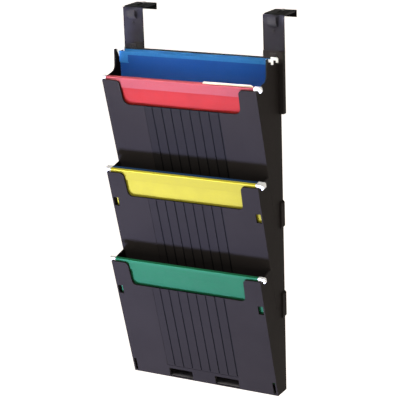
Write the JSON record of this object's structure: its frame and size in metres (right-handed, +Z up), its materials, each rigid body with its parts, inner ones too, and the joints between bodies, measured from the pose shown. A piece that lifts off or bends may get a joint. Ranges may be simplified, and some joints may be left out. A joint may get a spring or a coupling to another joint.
{
  "type": "hanging file rack",
  "caption": "Stacked wall pockets on steel straps that hook over a partition, loaded with hanging folders that lift out.",
  "frame": {"origin": "front top edge of the partition, midway between the two straps, where the straps seat", "axes": "+X to the right seen from the front, +Y back through the partition, +Z up"},
  "size_m": [0.3294, 0.1532, 0.7157],
  "materials": {
    "pocket_plastic": "fine moulded grain, dark grey",
    "strap_paint": "dark grey powder coat",
    "screw_steel": "zinc plated",
    "dark_screw": "black oxide",
    "rod_coating": "white coating on steel strip",
    "manila_card": "smooth card",
    "blue_card": "coloured card, matt",
    "red_card": "coloured card, matt",
    "navy_card": "coloured card, matt",
    "yellow_card": "coloured card, matt",
    "green_card": "coloured card, matt"
  },
  "bodies": {
    "rack": {"top_pocket": "pocket_plastic", "middle_pocket": "pocket_plastic", "bottom_pocket": "pocket_plastic", "joiner_upper_left": "pocket_plastic", "joiner_upper_right": "pocket_plastic", "joiner_lower_left": "pocket_plastic", "joiner_lower_right": "pocket_plastic", "hanger_left": "strap_paint", "hanger_right": "strap_paint", "clamp_screw_left": "screw_steel", "clamp_screw_right": "screw_steel", "strap_screw_left": "dark_screw", "strap_screw_right": "dark_screw"},
    "rear_hook_left": {"rear_hook_left": "strap_paint"},
    "rear_hook_right": {"rear_hook_right": "strap_paint"},
    "blue_folder": {"blue_folder": "blue_card", "blue_front_rod": "rod_coating", "blue_rear_rod": "rod_coating"},
    "red_folder": {"red_folder": "red_card", "red_front_rod": "rod_coating", "red_rear_rod": "rod_coating"},
    "navy_folder": {"navy_folder": "navy_card", "navy_front_rod": "rod_coating", "navy_rear_rod": "rod_coating"},
    "yellow_folder": {"yellow_folder": "yellow_card", "yellow_front_rod": "rod_coating", "yellow_rear_rod": "rod_coating"},
    "green_folder": {"green_folder": "green_card", "green_front_rod": "rod_coating", "green_rear_rod": "rod_coating"},
    "manila_folder": {"manila_folder": "manila_card"}
  },
  "joints": [
    {"name": "rear_hook_left_slide", "type": "slide", "parent": "rack", "child": "rear_hook_left", "axis": [0, 1, 0], "range_m": [-0.004, 0.022]},
    {"name": "rear_hook_right_slide", "type": "slide", "parent": "rack", "child": "rear_hook_right", "axis": [0, 1, 0], "range_m": [-0.004, 0.022]},
    {"name": "blue_folder_lift", "type": "slide", "parent": "rack", "child": "blue_folder", "axis": [0, 0, 1], "range_m": [0, 0.26]},
    {"name": "red_folder_lift", "type": "slide", "parent": "rack", "child": "red_folder", "axis": [0, -0.2565, 0.9665], "range_m": [0, 0.26]},
    {"name": "navy_folder_lift", "type": "slide", "parent": "rack", "child": "navy_folder", "axis": [0, -0.2565, 0.9665], "range_m": [0, 0.26]},
    {"name": "yellow_folder_lift", "type": "slide", "parent": "rack", "child": "yellow_folder", "axis": [0, -0.2565, 0.9665], "range_m": [0, 0.26]},
    {"name": "green_folder_lift", "type": "slide", "parent": "rack", "child": "green_folder", "axis": [0, -0.2565, 0.9665], "range_m": [0, 0.26]},
    {"name": "manila_folder_lift", "type": "slide", "parent": "red_folder", "child": "manila_folder", "axis": [0, -0.2565, 0.9665], "range_m": [0, 0.25]}
  ]
}
